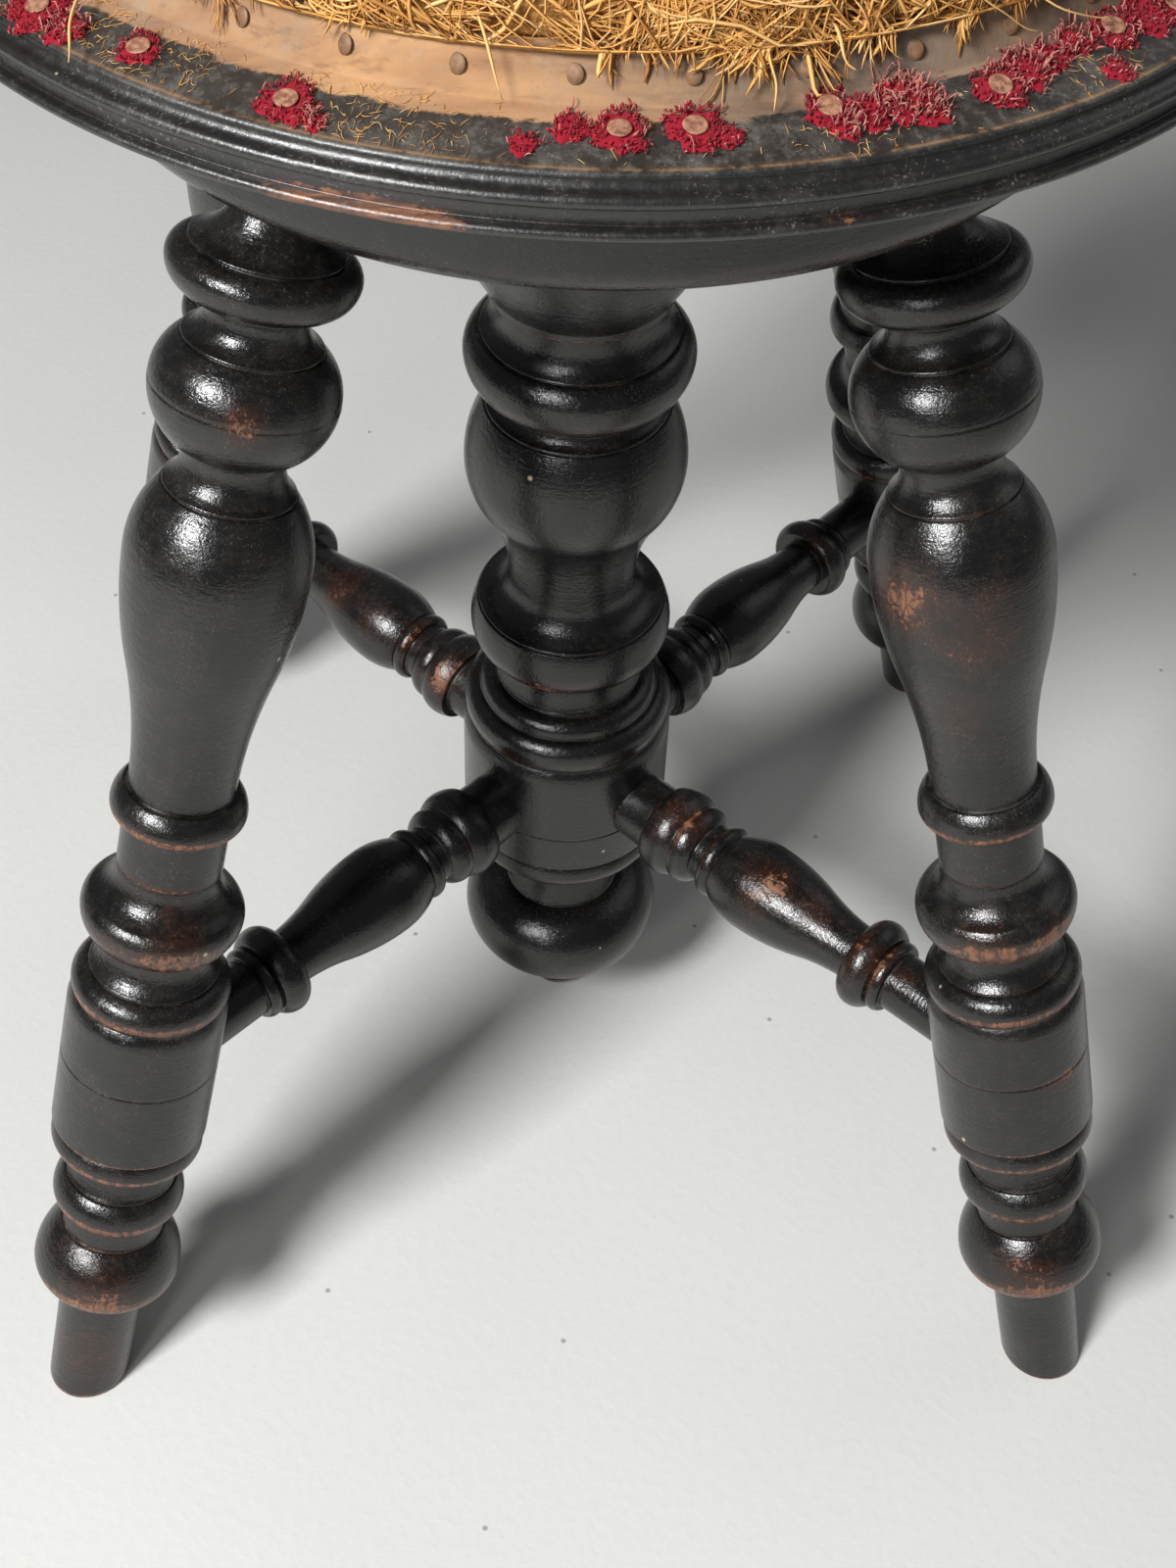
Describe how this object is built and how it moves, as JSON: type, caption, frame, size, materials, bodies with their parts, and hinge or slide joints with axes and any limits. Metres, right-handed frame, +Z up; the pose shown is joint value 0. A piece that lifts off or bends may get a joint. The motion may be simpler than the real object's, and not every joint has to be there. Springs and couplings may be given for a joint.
{
  "type": "piano stool",
  "caption": "Round adjustable stool on splayed turned legs and stretchers, with a moulded seat board that rises on a central screw.",
  "frame": {"origin": "on the floor, under the centre column and midway between the four feet", "axes": "+Z up along the screw axis, -Y towards the front of the stool, +X to its right as seen from the front"},
  "size_m": [0.3534, 0.3534, 0.5131],
  "materials": {
    "ebonised_wood": "black stained and polished hardwood, rubbed through at the edges",
    "iron": "dark greased iron",
    "washer_leather": "hard brown leather",
    "coir_stuffing": "loose straw-coloured fibre",
    "tack_steel": "blued steel, rusted",
    "velvet": "worn crimson pile",
    "nail_heads": "dull tan heads"
  },
  "bodies": {
    "base": {"leg_front_left": "ebonised_wood", "leg_front_right": "ebonised_wood", "leg_back_right": "ebonised_wood", "leg_back_left": "ebonised_wood", "stretcher_front_left": "ebonised_wood", "stretcher_front_right": "ebonised_wood", "stretcher_back_right": "ebonised_wood", "stretcher_back_left": "ebonised_wood", "centre_column": "ebonised_wood", "drop_finial": "ebonised_wood", "top_platform": "ebonised_wood", "nut_plate": "iron", "nut_plate_screws": "iron"},
    "washer": {"thrust_washer": "washer_leather"},
    "seat": {"seat_board": "ebonised_wood", "seat_stuffing": "coir_stuffing", "upholstery_tacks": "tack_steel", "velvet_scraps": "velvet", "scrap_nails": "nail_heads", "seat_flange": "iron", "flange_screws": "iron", "seat_screw": "iron"}
  },
  "joints": [
    {"name": "seat_spin", "type": "hinge", "parent": "base", "child": "washer", "pos_m": [0, 0, 0.45], "axis": [0, 0, 1], "range_deg": [0, 4320]},
    {"name": "seat_rise", "type": "slide", "parent": "washer", "child": "seat", "axis": [0, 0, 1], "range_m": [0, 0.0962]}
  ],
  "couplings": [
    {"joint": "seat_rise", "follows": "seat_spin", "m_per_rad": 0.0012732}
  ]
}
